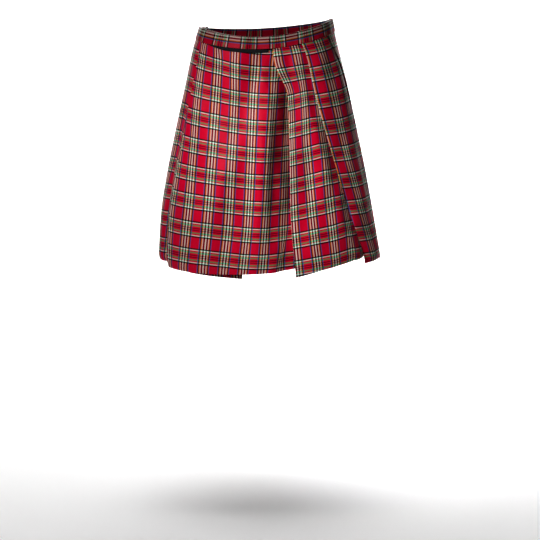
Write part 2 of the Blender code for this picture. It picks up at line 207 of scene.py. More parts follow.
WRAP_LEAVES, WRAP_UNDER, WRAP_SEAM, WRAP_ENDS = 326.0, 345.0, 353.0, 438.0
WRAP_INSET = (0.0100, 0.0100, 0.0115, 0.0150, 0.0170)
WRAP_COURSE = (
    # angle, share of the inset, hem, run
    (WRAP_LEAVES, 0.0, -0.508, 6),
    (WRAP_UNDER, 1.0, -0.508, 4),
    (WRAP_SEAM, 1.0, -0.512, 12),
    (378.0, 1.0, -0.512, 16),
    (410.0, 1.0, -0.525, 14),
    (WRAP_ENDS, 1.0, -0.535, 0),
)
FOLD_RADIUS = (LAYER / 2, 0.0014)      # of a fold edge, at the waist and at the hem
VALLEY_RADIUS = (LAYER / 2, 0.0040)    # of the bottom of a tuck
VALLEY_ROOM = 0.35                     # the most of a tuck's depth that this radius takes
SLIDE = 0.0018                         # how much freer the layers lie at the hem

WAIST_LEVEL = 0.0204             # height of the band's top edge at the sides
WAIST_TILT = 0.058               # its rise towards the wearer's left
WAIST_DIP = 0.033                # how far it dips at the front
WAIST_BACK_DIP = 0.010
BAND_HEIGHT = 0.027
TOP_IN_BAND = 0.003              # from the band's top down to the skirt's top edge
BAND_SHARE = 0.045               # share of the skirt's length under the band

WARP_REPEAT = 0.0455             # width of a sett
WEFT_REPEAT = 0.0595             # height of a sett
THREADS = (
    Thread(0, 0.0, (35.8, 37.9, 40.0, 45.4, 48.1, 46.3)),
    Thread(0, 1.0, (48.1, 53.7, 56.3, 58.9, 59.9, 58.4)),
    Thread(0, 2.0, (65.5, 66.9, 69.0, 70.2, 70.7, 68.5)),
    Thread(0, 3.0, (82.4, 82.1, 81.3, 81.2, 80.7, 78.3)),
    Thread(0, 4.0, (99.8, 97.9, 95.4, 92.4, 90.3, 88.0)),
    Thread(0, 5.0, (113.6, 110.6, 106.6, 102.1, 99.2, 97.2)),
    Thread(1, 8.0, (110.7, 114.5, 115.6, 113.9, 114.0, 115.2)),
    Thread(1, 9.0, (127.0, 126.6, 125.4, 125.1, 123.7, 123.8)),
    Thread(1, 10.0, (148.0, 140.0, 136.4, 135.4, 134.1, 132.4)),
    Thread(2, 12.0, (130.7, 135.1, 138.5, 141.4, 148.0, 157.7)),
)
WEFT_PLACES = (
    # place in the warp, place in the weft at the band's lower edge, and at the hem
    (-4.0, -0.300, 7.870),
    (-1.0, -0.360, 7.870),
    (0.0, -0.400, 7.880),
    (1.0, -0.465, 7.875),
    (2.0, -0.560, 7.830),
    (3.0, -0.630, 7.750),
    (4.0, -0.700, 7.710),
    (5.0, -0.740, 7.690),
    (7.0, -0.750, 7.600),
    (8.0, -0.800, 7.530),
    (9.0, -0.860, 7.470),
    (10.0, -0.900, 7.467),
    (12.0, -0.950, 7.340),
    (60.0, -0.950, 7.340),
)
FIRST_WEFT_BLACK = -0.288        # from the middle of a weft group up to its black line, in setts
PIN_GAP = 0.002                  # least cloth between two places where the setts are pinned

CREASES = tuple(Crease(*row) for row in (
    # angle at the top and the bottom, first, last, half width, height, bow
    (21.0, 15.0, 0.30, 1.30, 0.010, -0.0030),
    (24.5, 27.0, 0.62, 1.40, 0.009, -0.0035),
    (70.0, 72.0, 0.55, 1.30, 0.030, -0.0020),
    (87.0, 86.5, 0.10, 1.15, 0.018, 0.0080),
    (101.0, 88.0, 0.80, 1.25, 0.012, 0.0060),
    (24.0, 24.0, 0.10, 1.30, 0.012, -0.0080),
    (112.0, 117.0, 0.20, 1.20, 0.016, -0.0025),
    (86.0, 76.0, 0.045, 0.30, 0.010, -0.0026, 2.0),
    (93.0, 84.0, 0.045, 0.24, 0.008, 0.0024, 1.0),
    (69.0, 71.0, 0.05, 0.26, 0.013, 0.0022),
    (58.0, 56.5, 0.045, 0.19, 0.008, -0.0018),
    (46.0, 44.0, 0.045, 0.16, 0.007, -0.0016),
    (106.0, 109.0, 0.045, 0.20, 0.008, -0.0018),
    (127.0, 130.0, 0.05, 0.25, 0.011, 0.0018),
    (150.0, 153.0, 0.045, 0.17, 0.008, -0.0016),
    (187.0, 184.0, 0.045, 0.22, 0.010, -0.0018),
    (209.0, 212.0, 0.045, 0.15, 0.008, 0.0015),
    (238.0, 236.0, 0.045, 0.26, 0.010, -0.0020),
    (262.0, 265.0, 0.045, 0.18, 0.009, 0.0016),
    (281.0, 279.0, 0.05, 0.23, 0.008, -0.0017),
    (309.0, 311.0, 0.045, 0.20, 0.010, -0.0019),
    (337.0, 333.0, 0.045, 0.16, 0.008, -0.0015),
    (158.0, 166.0, 0.30, 1.30, 0.014, -0.0030),
    (196.0, 198.0, 0.25, 1.30, 0.016, 0.0030),
    (214.0, 222.0, 0.40, 1.30, 0.012, -0.0028),
    (247.0, 243.0, 0.20, 1.25, 0.018, 0.0032),
    (266.0, 270.0, 0.45, 1.40, 0.011, -0.0026),
    (290.0, 286.0, 0.30, 1.30, 0.015, -0.0030),
    (318.0, 312.0, 0.15, 1.20, 0.020, 0.0034),
    (334.0, 338.0, 0.50, 1.40, 0.013, -0.0025),
))
CREASE_GROWS, CREASE_FADES = 0.4, 0.3   # shares of its length
HEM_CURL_HEIGHT = 0.014          # the last of the cloth above the hem, which curls in
HEM_CURL = 0.0035                # how far it curls in
HEM_CURL_SWING = 0.4             # how much that varies, in three waves round the hem
TURN_GAP = 1.1 * CLOTH           # pitch of the cloth turned up inside the hem
HEM_TURNING = (
    # distance inward in gaps, distance below the hem
    (0.35, 0.0010),
    (1.0, 0.0007),
    (1.15, -0.002),
    (1.2, -0.006),
    (1.2, -0.012),
)


class Ring:
    """The skirt's plan outline at one share of its length, measured along the cloth."""

    ANGLES = np.arange(-40.0, 480.0, 0.5)    # degrees, past both ends of the wrap

    def __init__(self, share: float) -> None:
        """Work out the outline.

        Args:
            share: 0 at the skirt's top edge and 1 at its hem.
        """
        self.share = share
        shares = [row[0] for row in OUTLINE]
        right, left, front, back = (curve(shares, [row[k] for row in OUTLINE], share)
                                    for k in range(1, 5))
        turn = np.radians(self.ANGLES)
        cos, sin = np.cos(turn), np.sin(turn)
        full = 1 + SQUARENESS * np.sin(2 * turn) ** 2
        x = -np.where(cos > 0, right, left) * cos * full
        y = -np.where(sin > 0, front, back) * sin * full
        x, y = self.pushed(x, y, self.swell())
        mean_radius = (right + left + front + back) / 4
        self.x, self.y = self.pushed(x, y, self.creased(mean_radius))
        self.nx, self.ny = self.normals(self.x, self.y)
        length = running(np.hypot(np.diff(self.x), np.diff(self.y)))
        self.s = length - np.interp(0.0, self.ANGLES, length)

    def swell(self) -> np.ndarray:
        """How far each point of the outline is pushed outward by the broad swells."""
        out = np.zeros_like(self.ANGLES)
        for angle, spread, outward, start in SWELLS:
            grown = smooth((self.share - start) / (1 - start))
            away = (self.ANGLES - angle + 180) % 360 - 180
            out += outward * grown * np.exp(-(1.5 * away / spread) ** 2)
        return out

    def creased(self, radius: float) -> np.ndarray:
        """How far each point is pushed outward by the soft creases and the hem's curl."""
        out = np.zeros_like(self.ANGLES)
        for crease in CREASES:
            along = (self.share - crease.first) / (crease.last - crease.first)
            if not 0 < along < 1:
                continue
            grown = smooth(along / CREASE_GROWS) * smooth((1 - along) / CREASE_FADES)
            middle = blend((crease.top, crease.bottom), along)
            middle += crease.bow * math.sin(math.pi * along)
            away = (self.ANGLES - middle + 180) % 360 - 180
            out += crease.depth * grown * np.exp(-(np.radians(away) * radius / crease.width) ** 2)
        curl = max(0.0, (self.share - 1) * SKIRT_LENGTH / HEM_CURL_HEIGHT + 1)
        wave = 1 + HEM_CURL_SWING * (np.sin(np.radians(self.ANGLES * 3.0 + 40.0)) - 1)
        return out - HEM_CURL * curl ** 2 * wave

    @staticmethod
    def normals(x: np.ndarray, y: np.ndarray) -> tuple[np.ndarray, np.ndarray]:
        """Outward unit normals of a line that runs right, front, left, back."""
        tx, ty = np.gradient(x), np.gradient(y)
        size = np.hypot(tx, ty)
        return ty / size, -tx / size

    def pushed(self, x: np.ndarray, y: np.ndarray,
               out: np.ndarray) -> tuple[np.ndarray, np.ndarray]:
        """The line moved outward along its normals."""
        nx, ny = self.normals(x, y)
        return x + nx * out, y + ny * out

    def along(self, angle: float) -> float:
        """Distance along the outline at an angle."""
        return float(np.interp(angle, self.ANGLES, self.s))

    def angle(self, s: float) -> float:
        """Angle at a distance along the outline."""
        return float(np.interp(s, self.s, self.ANGLES))

    def place(self, s: float, out: float) -> Plan:
        """Plan position at a distance along the outline and a distance outside it."""
        return (float(np.interp(s, self.s, self.x) + out * np.interp(s, self.s, self.nx)),
                float(np.interp(s, self.s, self.y) + out * np.interp(s, self.s, self.ny)))


TOP_RING = Ring(0.0)


def band_top(angle: float) -> float:
    """Height of the waistband's top edge at an angle."""
    turn = math.radians(angle)
    x = TOP_RING.place(TOP_RING.along(angle), 0.0)[0]
    dip = WAIST_DIP if math.sin(turn) > 0 else WAIST_BACK_DIP
    return WAIST_LEVEL + WAIST_TILT * x - dip * math.sin(turn) ** 2


# ---------------------------------------------------------------- laying the pleats
@dataclass
class Tuck:
    """One pleat at one level: distances along the outline and depths inside it."""

    pleat: Pleat
    start: float
    edge: float
    bottom: float
    depth: float
    inset: float

    @classmethod
    def lay(cls, share: float, before: float, edge: float, pleat: Pleat) -> "Tuck":
        """Find the bottom of the tuck from the width of its cloth.

        Args:
            share: Share of the skirt's length.
            before: Distance along the outline of the fold edge before it.
            edge: Distance along the outline of its own fold edge.
            pleat: The pleat's sizes.

        Returns:
            The pleat as laid at this level.
        """
        start = edge - blend(pleat.lead, share)
        rest = curve(STATIONS, pleat.cloth, share) - (start - before)
        half_gap = (edge - start) / 2
        reach = math.sqrt(max(rest * rest / 4 - half_gap ** 2, 1e-8))
        depth = min(curve(DEPTH_STATIONS, pleat.tuck, share), DEEPEST * reach)
        bottom = (start + edge) / 2 + rest / 2 * math.sqrt(1 - (depth / reach) ** 2)
        return cls(pleat, start, edge, bottom, depth, curve(DEPTH_STATIONS, pleat.inset, share))


@dataclass
class Pulley:
    """A small pulley that the cloth is laid round, or a point if it has no radius."""

    centre: Plan
    run: int                     # points on the cloth from here to the next pulley
    hem: float                   # height of the hem
    radius: float = 0.0          # positive where the cloth turns left
    arc: int = 1                 # points round it
    belly: float = 0.0           # how much lower the hem hangs halfway to the next pulley

    def touch(self, heading: float) -> Plan:
        """Where a belt with this heading touches the pulley."""
        return (self.centre[0] + self.radius * math.sin(heading),
                self.centre[1] - self.radius * math.cos(heading))


class Level:
    """One level of the whole wrap: its points, its hem heights and its place in the tartan."""

    GUIDE_ARC, FOLD_ARC, STOPS_A_PLEAT = 3, 9, 4
    WRONG_WAY = 1.0              # radians; a turn this far against its pulley goes round it

    def __init__(self, share: float) -> None:
        """Lay the cloth at one share of the skirt's length."""
        self.share = share
        self.ring = Ring(share)
        self.tucks = self.lay_tucks()
        pulleys = [Pulley((self.ring.along(FREE_EDGE), 0.0), run=12, hem=FREE_EDGE_HEM)]
        for tuck in self.tucks:
            pulleys += self.pleat_pulleys(tuck)
        inset = curve(DEPTH_STATIONS, WRAP_INSET, share)
        for angle, reached, hem, run in WRAP_COURSE:
            pulleys.append(Pulley((self.ring.along(angle), -inset * reached), run, hem))
        self.points, self.hems, self.firsts = self.belt(pulleys)
        self.length = running(np.hypot(*np.diff(np.array(self.points), axis=0).T))
        self.setts = self.count_setts()

    def lay_tucks(self) -> list[Tuck]:
        """Every pleat at this level."""
        tucks = []
        before = self.ring.along(FREE_EDGE)
        for pleat in PLEATS:
            edge = self.ring.along(curve(STATIONS, pleat.edge, self.share))
            tucks.append(Tuck.lay(self.share, before, edge, pleat))
            before = edge
        first, last = before, self.ring.along(BACK_LAST_EDGE)
        for k in range(1, BACK_PLEATS + 1):
            edge = first + (last - first) * k / BACK_PLEATS
            tucks.append(Tuck.lay(self.share, before, edge, BACK))
            before = edge
        return tucks

    def pleat_pulleys(self, tuck: Tuck) -> list[Pulley]:
        """The four pulleys of one pleat: sinking, under the edge, bottom and edge."""
        fold, valley = blend(FOLD_RADIUS, self.share), blend(VALLEY_RADIUS, self.share)
        low = -tuck.inset - tuck.depth
        valley = min(valley, VALLEY_ROOM * (tuck.depth - LAYER / 2))
        guide = tuck.pleat.guide * (tuck.edge - tuck.start)
        under = min(tuck.edge - fold, tuck.bottom - 2 * valley)
        gape = curve(DEPTH_STATIONS, tuck.pleat.gape, self.share)
        sunk = max(-tuck.inset - max(FLAT + SLIDE * self.share, gape), low)
        on_line = (under - tuck.start) / max(tuck.bottom - tuck.start, 1e-6) * low
        sinks, tucked, edge = tuck.pleat.hem
        return [Pulley((tuck.start, -guide), 4, sinks, -guide, self.GUIDE_ARC),
                Pulley((under, min(on_line, sunk)), 6, tucked),
                Pulley((tuck.bottom - valley, low + valley), 6, tucked, valley, self.FOLD_ARC),
                Pulley((tuck.edge + fold, -tuck.inset - fold), tuck.pleat.run, edge, -fold,
                       self.FOLD_ARC, tuck.pleat.belly)]

    def belt(self, pulleys: Sequence[Pulley]) -> tuple[list[Plan], list[float], list[int]]:
        """Lay a belt round the pulleys.

        Args:
            pulleys: The pulleys in order.

        Returns:
            The belt's points, the height of the hem under each, level round a fold and eased
            between folds, and the index of each pulley's first point.
        """
        runs = []
        for one, other in zip(pulleys, pulleys[1:]):
            across, out = other.centre[0] - one.centre[0], other.centre[1] - one.centre[1]
            tilt = (one.radius - other.radius) / math.hypot(across, out)
            lean = math.asin(min(max(tilt, -1), 1))
            heading = math.atan2(out, across) + lean
            runs.append((heading, other.touch(heading)))
        points, hems, firsts = [], [], []
        for i, pulley in enumerate(pulleys):
            arrives = runs[max(i - 1, 0)][0]
            leaves = runs[min(i, len(runs) - 1)][0]
            turn = (leaves - arrives + math.pi) % (2 * math.pi) - math.pi
            if turn * np.sign(pulley.radius) < -self.WRONG_WAY:
                turn += math.copysign(2 * math.pi, pulley.radius)
            firsts.append(len(points))
            for j in range(pulley.arc):
                part = j / (pulley.arc - 1) if pulley.arc > 1 else 0.5
                points.append(pulley.touch(arrives + turn * part))
            hems += [pulley.hem] * pulley.arc
            if i < len(runs):
                begin, end, lies = points[-1], runs[i][1], (pulley.hem, pulleys[i + 1].hem)
                for j in range(1, pulley.run + 1):
                    f = j / (pulley.run + 1)
                    points.append((blend((begin[0], end[0]), f), blend((begin[1], end[1]), f)))
                    hems.append(blend(lies, f) - pulley.belly * 4 * f * (1 - f))
        return points, hems, firsts

    def stop(self, pleat: int, part: int) -> int:
        """Index of the first point of one of a pleat's pulleys (0 sinking to 3 edge)."""
        return self.firsts[1 + self.STOPS_A_PLEAT * pleat + part]

    def edge_point(self, pleat: int) -> int:
        """Index of the point on a pleat's fold edge."""
        return self.stop(pleat, 3) + self.FOLD_ARC // 2

    def count_setts(self) -> np.ndarray:
        """Place in the tartan's warp of every point, counted along the cloth."""
        edge = self.edge_point(0)
        start = curve(FIRST_SETT_STATIONS, PLEATS[0].setts, self.share)
        pins = [(0.0, start - self.length[edge] / WARP_REPEAT), (self.length[edge], start)]

        def follow(length: float) -> float:
            """The count at a length when the cloth runs on from the last pin."""
            return pins[-1][1] + (length - pins[-1][0]) / WARP_REPEAT

        for k in range(1, len(self.tucks)):
            before, under = self.edge_point(k - 1), self.length[self.stop(k, 1)]
            bottom, edge = self.stop(k, 2), self.length[self.edge_point(k)]
            places = [point[0] for point in self.points[before:bottom]]
            for thread in THREADS:
                s = self.ring.along(curve(STATIONS, thread.angle, self.share))
                if thread.panel == k - 1 and places[2] < s < places[-2]:
                    pins.append((np.interp(s, places, self.length[before:bottom]), thread.sett))
            if under > pins[-1][0] + PIN_GAP:
                pins.append((under, follow(under)))
            here = self.tucks[k].pleat.setts
            pins.append((edge, curve(SETT_STATIONS, here, self.share) if here
                         else follow(edge)))
        pins.append((self.length[-1], follow(self.length[-1])))
        return np.interp(self.length, *zip(*pins))

    def weft(self, sett: float) -> float:
        """Place in the tartan's weft at a place in the warp, at this level."""
        warp = [row[0] for row in WEFT_PLACES]
        at_band = np.interp(sett, warp, [row[1] for row in WEFT_PLACES])
        at_hem = np.interp(sett, warp, [row[2] for row in WEFT_PLACES])
        down = (self.share - BAND_SHARE) / (1 - BAND_SHARE)
        return float(at_band + (at_hem - at_band) * down) + FIRST_WEFT_BLACK

    def position(self, index: int, inward: float = 0.0, share: float | None = None) -> Point:
        """World position of one of its points.

        Args:
            index: The point.
            inward: Distance towards the cloth's inner side.
            share: Share of the length to stand at, if not the level's own.

        Returns:
            The point in metres.
        """
        s, out = self.points[index]
        if inward:
            before = self.points[max(index - 1, 0)]
            after = self.points[min(index + 1, len(self.points) - 1)]
            across, rise = after[0] - before[0], after[1] - before[1]
            size = math.hypot(across, rise) or 1.0
            s, out = s + inward * rise / size, out - inward * across / size
        x, y = self.ring.place(s, out)
        top = band_top(self.ring.angle(self.points[index][0])) - TOP_IN_BAND
        return x, y, top + (self.hems[index] - top) * (self.share if share is None else share)


# ---------------------------------------------------------------- finishes
class Slot(Enum):
    """The material slots that the pieces fill."""

    OUTSIDE = "tartan"
    INSIDE = "tartan_inside"
    BAND = "tartan_band"
    TAPE = "tape"


@dataclass(frozen=True)
class Stripe:
    """One stripe of half a sett: its colour and where it ends, in mm from the middle."""

    colour: Colour
    ends: float
    weight: float = 0.5          # how strongly it shows where it crosses another


RED = (0.530, 0.0, 0.036)
BLACK = (0.001, 0.001, 0.002)
WHITE = (0.640, 0.820, 0.700)
YELLOW = (0.560, 0.260, 0.015)
GREEN = (0.004, 0.320, 0.130)
BLUE = (0.015, 0.110, 0.340)

WARP_STRIPES = (
    Stripe(WHITE, 1.5, 0.56),
    Stripe(BLACK, 5.0, 0.66),
    Stripe(WHITE, 7.3, 0.46),
    Stripe(YELLOW, 9.5, 0.52),
    Stripe(BLACK, 11.6, 0.86),
    Stripe(BLUE, 13.6, 0.74),
    Stripe(RED, 22.75),
)
WEFT_STRIPES = (
    Stripe(RED, 1.2),
    Stripe(BLACK, 3.0, 0.74),
    Stripe(RED, 6.3),
    Stripe(GREEN, 9.9, 0.58),
    Stripe(RED, 12.4),
    Stripe(WHITE, 14.9),
    Stripe(BLACK, 17.8, 0.90),
    Stripe(RED, 29.75),
)


class Nodes:
    """A small helper that adds and joins a material's nodes."""

    def __init__(self, name: str) -> None:
        """Start a new material with this name."""
        self.material = bpy.data.materials.new(name)
        self.material.use_nodes = True
        self.tree = self.material.node_tree

    def fill(self, node: Node, inputs: dict) -> Node:
        """Give a node's inputs their numbers, colours or links.

        Args:
            node: The node.
            inputs: What each input gets, by its name or its place.

        Returns:
            The same node.
        """
        for key, given in inputs.items():
            if isinstance(given, Socket):
                self.tree.links.new(given, node.inputs[key])
            else:
                node.inputs[key].default_value = given
        return node

    def add(self, kind: str, inputs: dict | None = None, **settings: object) -> Node:
        """A new node of this kind with these inputs and properties."""
        node = self.tree.nodes.new(kind)
        for name, value in settings.items():
            setattr(node, name, value)
        return self.fill(node, inputs or {})

    def dress(self, inputs: dict) -> Material:
        """Give the surface its inputs and hand over the material."""
        self.fill(self.tree.nodes["Principled BSDF"], inputs)
        return self.material

    def place(self) -> Socket:
        """Place on the piece, in metres."""
        return self.add("ShaderNodeTexCoord").outputs["Object"]

    def value(self, operation: str, *inputs: Socket | float) -> Socket:
        """The result of a Math node on numbers or sockets."""
        return self.add("ShaderNodeMath", dict(enumerate(inputs)), operation=operation).outputs[0]

    def mix(self, factor: Socket | float, one: Socket | Colour, other: Socket | Colour,
            kind: str = "MIX") -> Socket:
        """Two colours mixed by a factor."""
        one, other = (c if isinstance(c, Socket) else (*c, 1.0) for c in (one, other))
        return self.add("ShaderNodeMix", {0: factor, 6: one, 7: other}, data_type="RGBA",
                        blend_type=kind).outputs[2]

    def noise(self, place: Socket, scale: float, detail: float = 2.0) -> Socket:
        """Soft noise from 0 to 1."""
        return self.add("ShaderNodeTexNoise",
                        {"Vector": place, "Scale": scale, "Detail": detail}).outputs[0]

    def bump(self, height: Socket, distance: float, strength: float = 1.0,
             under: Socket | None = None) -> Socket:
        """A bump from a height, laid over another bump if there is one."""
        inputs = {"Height": height, "Strength": strength, "Distance": distance}
        if under:
            inputs["Normal"] = under
        return self.add("ShaderNodeBump", inputs).outputs[0]

    def ridges(self, place: Socket) -> Socket:
        """A zigzag: 0 at every whole number and 1 halfway between."""
        return self.value("MULTIPLY", self.value("PINGPONG", place, 0.5), 2.0)

    def stripes(self, place: Socket, stripes: Sequence[Stripe]) -> tuple[Socket, Socket]:
        """A mirrored row of stripes.

        Args:
            place: Place along the sett, whole numbers at its middle.
            stripes: Half a sett, from its middle outwards.

        Returns:
            The colour, and how strongly the stripe shows.
        """
        ramp = self.add("ShaderNodeValToRGB", {0: self.ridges(place)})
        bar = ramp.color_ramp
        bar.interpolation = "CONSTANT"
        while len(bar.elements) < len(stripes):
            bar.elements.new(1.0)
        begins = 0.0
        for element, stripe in zip(bar.elements, stripes):
            element.position = begins / stripes[-1].ends
            element.color = (*stripe.colour, stripe.weight)
            begins = stripe.ends
        return ramp.outputs[0], ramp.outputs[1]


@dataclass(frozen=True)
class TartanFinish:
    """Thin polyester plaid: woven stripes, a fine twill, soft rumples and a low sheen."""

    slot: Slot
    shade: float = 1.0           # how light its colour is painted; below 1 it is painted shade, darkening the whole cloth
    roughness: float = 0.46
    gloss: Colour = (1.0, 0.60, 0.64)
    specular: float = 0.14
    sheen: float = 0.03
    sheen_roughness: float = 0.4
    twill_pitch: float = 0.0011
    twill_height: float = 0.00010
    twill_mix: tuple[float, float] = (0.20, 0.40)   # weft's share on a rib, more than and between
    slub_scale: float = 55.0
    slub_height: float = 0.00035
    slub_tone: float = 0.16      # how unevenly it takes the dye
    crumple_size: float = 0.075
    crumple_height: float = 0.0260
    crumple_squash: float = 0.45  # how much longer it is down the cloth

    def material(self) -> Material:
        """Make the material."""
        nodes = Nodes(self.slot.value + "_weave")
        chart = nodes.add("ShaderNodeUVMap", uv_map=WEAVE_MAP).outputs[0]
        warp, weft, _ = nodes.add("ShaderNodeSeparateXYZ", {0: chart}).outputs
        place = nodes.place()
        slubs = nodes.noise(place, self.slub_scale, detail=3.0)
        twill = self.twill(nodes, warp, weft)
        # the slubs' uneven dye, times shade, which paints shade into pieces whose shade is below 1
        tone = nodes.value("MULTIPLY_ADD", slubs, self.slub_tone,
                           (1 - self.slub_tone / 2) * self.shade)
        grey = nodes.add("ShaderNodeCombineXYZ", {k: tone for k in range(3)}).outputs[0]
        fine = nodes.bump(twill, self.twill_height, strength=0.5)
        broad = nodes.bump(slubs, self.slub_height, strength=0.6, under=fine)
        return nodes.dress({
            "Base Color": nodes.mix(1.0, self.woven(nodes, warp, weft, twill), grey, "MULTIPLY"),
            "Normal": nodes.bump(self.rumples(nodes, place), self.crumple_height, under=broad),
            "Roughness": self.roughness,
            "Specular IOR Level": self.specular,
            "Specular Tint": (*self.gloss, 1.0),
            "Sheen Weight": self.sheen,
            "Sheen Roughness": self.sheen_roughness,
        })

    def woven(self, nodes: Nodes, warp: Socket, weft: Socket, twill: Socket) -> Socket:
        """Warp and weft stripes crossed, the stronger one showing more."""
        warp_colour, warp_weight = nodes.stripes(warp, WARP_STRIPES)
        weft_colour, weft_weight = nodes.stripes(weft, WEFT_STRIPES)
        lean = nodes.value("SUBTRACT", weft_weight, warp_weight)
        ripple = nodes.value("MULTIPLY_ADD", twill, *self.twill_mix)
        return nodes.mix(nodes.value("ADD", ripple, lean), warp_colour, weft_colour)

    def rumples(self, nodes: Nodes, place: Socket) -> Socket:
        """Soft uneven rumples, longer down the cloth than across."""
        squash = {"Vector": place, "Scale": (1.0, 1.0, self.crumple_squash)}
        longer = nodes.add("ShaderNodeMapping", squash).outputs[0]
        return nodes.noise(longer, 1 / self.crumple_size, detail=1.0)

    def twill(self, nodes: Nodes, warp: Socket, weft: Socket) -> Socket:
        """Fine diagonal ribs, from 0 to 1."""
        across = nodes.value("MULTIPLY", warp, WARP_REPEAT / self.twill_pitch)
        down = nodes.value("MULTIPLY", weft, WEFT_REPEAT / self.twill_pitch)
        return nodes.ridges(nodes.value("ADD", across, down))


@dataclass(frozen=True)
class TapeFinish:
    """Black hook-and-loop tape: a dull looped pile, its loops' tops painted lighter as a painted
    highlight.
    """

    colour: Colour = (0.006, 0.006, 0.007)
    painted_highlight: float = 4.0         # how much lighter the loops' tops are painted: a painted highlight
    roughness: float = 0.9
    specular: float = 0.2
    sheen: float = 0.1
    loop_pitch: float = 0.0012
    loop_height: float = 0.0004

    def material(self) -> Material:
        """Make the material."""
        nodes = Nodes("tape_loops")
        loops = nodes.add("ShaderNodeTexVoronoi", {"Vector": nodes.place(),
                                                   "Scale": 1 / self.loop_pitch}).outputs[0]
        # painted highlight on the loops' raised tops, painted shade in the hollows between them
        top = tuple(self.painted_highlight * c for c in self.colour)
        return nodes.dress({"Base Color": nodes.mix(loops, self.colour, top),
                            "Normal": nodes.bump(loops, self.loop_height, strength=0.8),
                            "Roughness": self.roughness,
                            "Specular IOR Level": self.specular,
                            "Sheen Weight": self.sheen})


@dataclass(frozen=True)
class ThreadFinish:
    """Twisted sewing thread, with painted shade in the grooves between its plies."""

    name: str
    colour: Colour
    darker: float = 0.6          # painted shade between the plies
    ply_scale: float = 900.0
    roughness: float = 0.6
    sheen: float = 0.2

    def material(self) -> Material:
        """Make the material."""
        nodes = Nodes(self.name)
        ply = nodes.add("ShaderNodeTexWave", {"Vector": nodes.place(), "Scale": self.ply_scale},
                        bands_direction="DIAGONAL").outputs[1]
        shade = tuple(self.darker * c for c in self.colour)
        return nodes.dress({"Base Color": nodes.mix(ply, shade, self.colour),
                            "Roughness": self.roughness, "Sheen Weight": self.sheen})


@dataclass(frozen=True)
class PaperFinish:
    """Pale matt studio paper."""

    colour: Colour = (0.90, 0.90, 0.90)
    darker: float = 0.985
    grain_scale: float = 3.0
    roughness: float = 0.95

    def material(self) -> Material:
        """Make the material."""
        nodes = Nodes("studio_paper")
        grain = nodes.noise(nodes.place(), self.grain_scale)
        shade = tuple(self.darker * c for c in self.colour)
        return nodes.dress({"Base Color": nodes.mix(grain, shade, self.colour),
                            "Roughness": self.roughness, "Specular IOR Level": 0.0})


# ---------------------------------------------------------------- meshes
def new_piece(name: str, points: list, faces: list, material: Material) -> Piece:
    """A smooth piece in the scene, at the origin."""
    mesh = bpy.data.meshes.new(name)
    mesh.from_pydata(points, [], faces)
    mesh.shade_smooth()
    mesh.materials.append(material)
    piece = bpy.data.objects.new(name, mesh)
    bpy.context.scene.collection.objects.link(piece)
    return piece


def apply_modifiers(piece: Piece) -> None:
    """Apply every modifier of a piece, in order, with nothing else selected."""
    bpy.ops.object.select_all(action="DESELECT")
    piece.select_set(True)
    bpy.context.view_layer.objects.active = piece
    for modifier in list(piece.modifiers):
        bpy.ops.object.modifier_apply(modifier=modifier.name)


def cloth_object(name: str, grid: np.ndarray, weave: np.ndarray, thickness: float,
                 material: Material) -> Piece:
    """A sheet of cloth from a grid of points, given its wall by Solidify.

    Args:
        name: The piece's name.
        grid: Points, rows by columns by 3. Rows run down and columns along the wrap.
        weave: Place in the tartan of each point, rows by columns by 2.
        thickness: The wall.
        material: Its finish.

    Returns:
        The new object, at the origin.
    """
    down, across = grid.shape[:2]
    corner = np.arange(down * across).reshape(down, across)
    faces = np.stack([corner[:-1, :-1], corner[1:, :-1], corner[1:, 1:], corner[:-1, 1:]], -1)
    piece = new_piece(name, grid.reshape(-1, 3).tolist(), faces.reshape(-1, 4).tolist(), material)
    loops = np.zeros(len(piece.data.loops), np.int64)
    piece.data.loops.foreach_get("vertex_index", loops)
    chart = piece.data.uv_layers.new(name=WEAVE_MAP)
    chart.data.foreach_set("uv", weave.reshape(-1, 2)[loops].astype(np.float32).ravel())
    wall = piece.modifiers.new("wall", "SOLIDIFY")
    wall.thickness = thickness
    wall.offset = 0.0
    apply_modifiers(piece)
    return piece


def seat(piece: Piece, slot: Slot, *nodes: str) -> None:
    """Let a piece ride on the kilt's body, and hide the nodes it stands for."""
    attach(piece, BODY)
    if nodes:
        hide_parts(*nodes)
    LOG.info("%s: %d faces", piece.name, len(piece.data.polygons))


# ---------------------------------------------------------------- the pieces
class Skirt:
    """The whole wrap of cloth, level by level."""

    LEVELS, CURL_LEVELS = 84, 5  # above the hem's curl, and down it
    SEWN_LEVEL = -5              # the level that the hem's stitches run along

    def __init__(self) -> None:
        """Lay every level, closer together near the hem, and turn the hem up inside."""
        curl = HEM_CURL_HEIGHT / SKIRT_LENGTH
        shares = [*np.linspace(0.0, 1.0 - curl, self.LEVELS),
                  *(1 - curl * (1 - k / self.CURL_LEVELS) for k in range(1, self.CURL_LEVELS + 1))]
        self.levels = [Level(float(share)) for share in shares]
        grid = [[level.position(i) for i in range(len(level.points))] for level in self.levels]
        weave = [[(sett, level.weft(sett)) for sett in level.setts] for level in self.levels]
        hem = self.levels[-1]
        for inward, drop in HEM_TURNING:
            share = 1.0 + drop / SKIRT_LENGTH
            level = hem if drop >= 0 else Level(share)
            down = (CLOTH * inward - min(drop, 0.0)) / WEFT_REPEAT
            grid.append([level.position(i, inward * TURN_GAP, share)
                         for i in range(len(level.points))])
            weave.append([(sett, hem.weft(sett) + down) for sett in hem.setts])
        self.grid, self.weave = np.array(grid), np.array(weave)
        LOG.info("skirt: %d by %d points, pleats %s and %d at the back", *self.grid.shape[:2],
                 ", ".join(pleat.name for pleat in PLEATS), BACK_PLEATS)


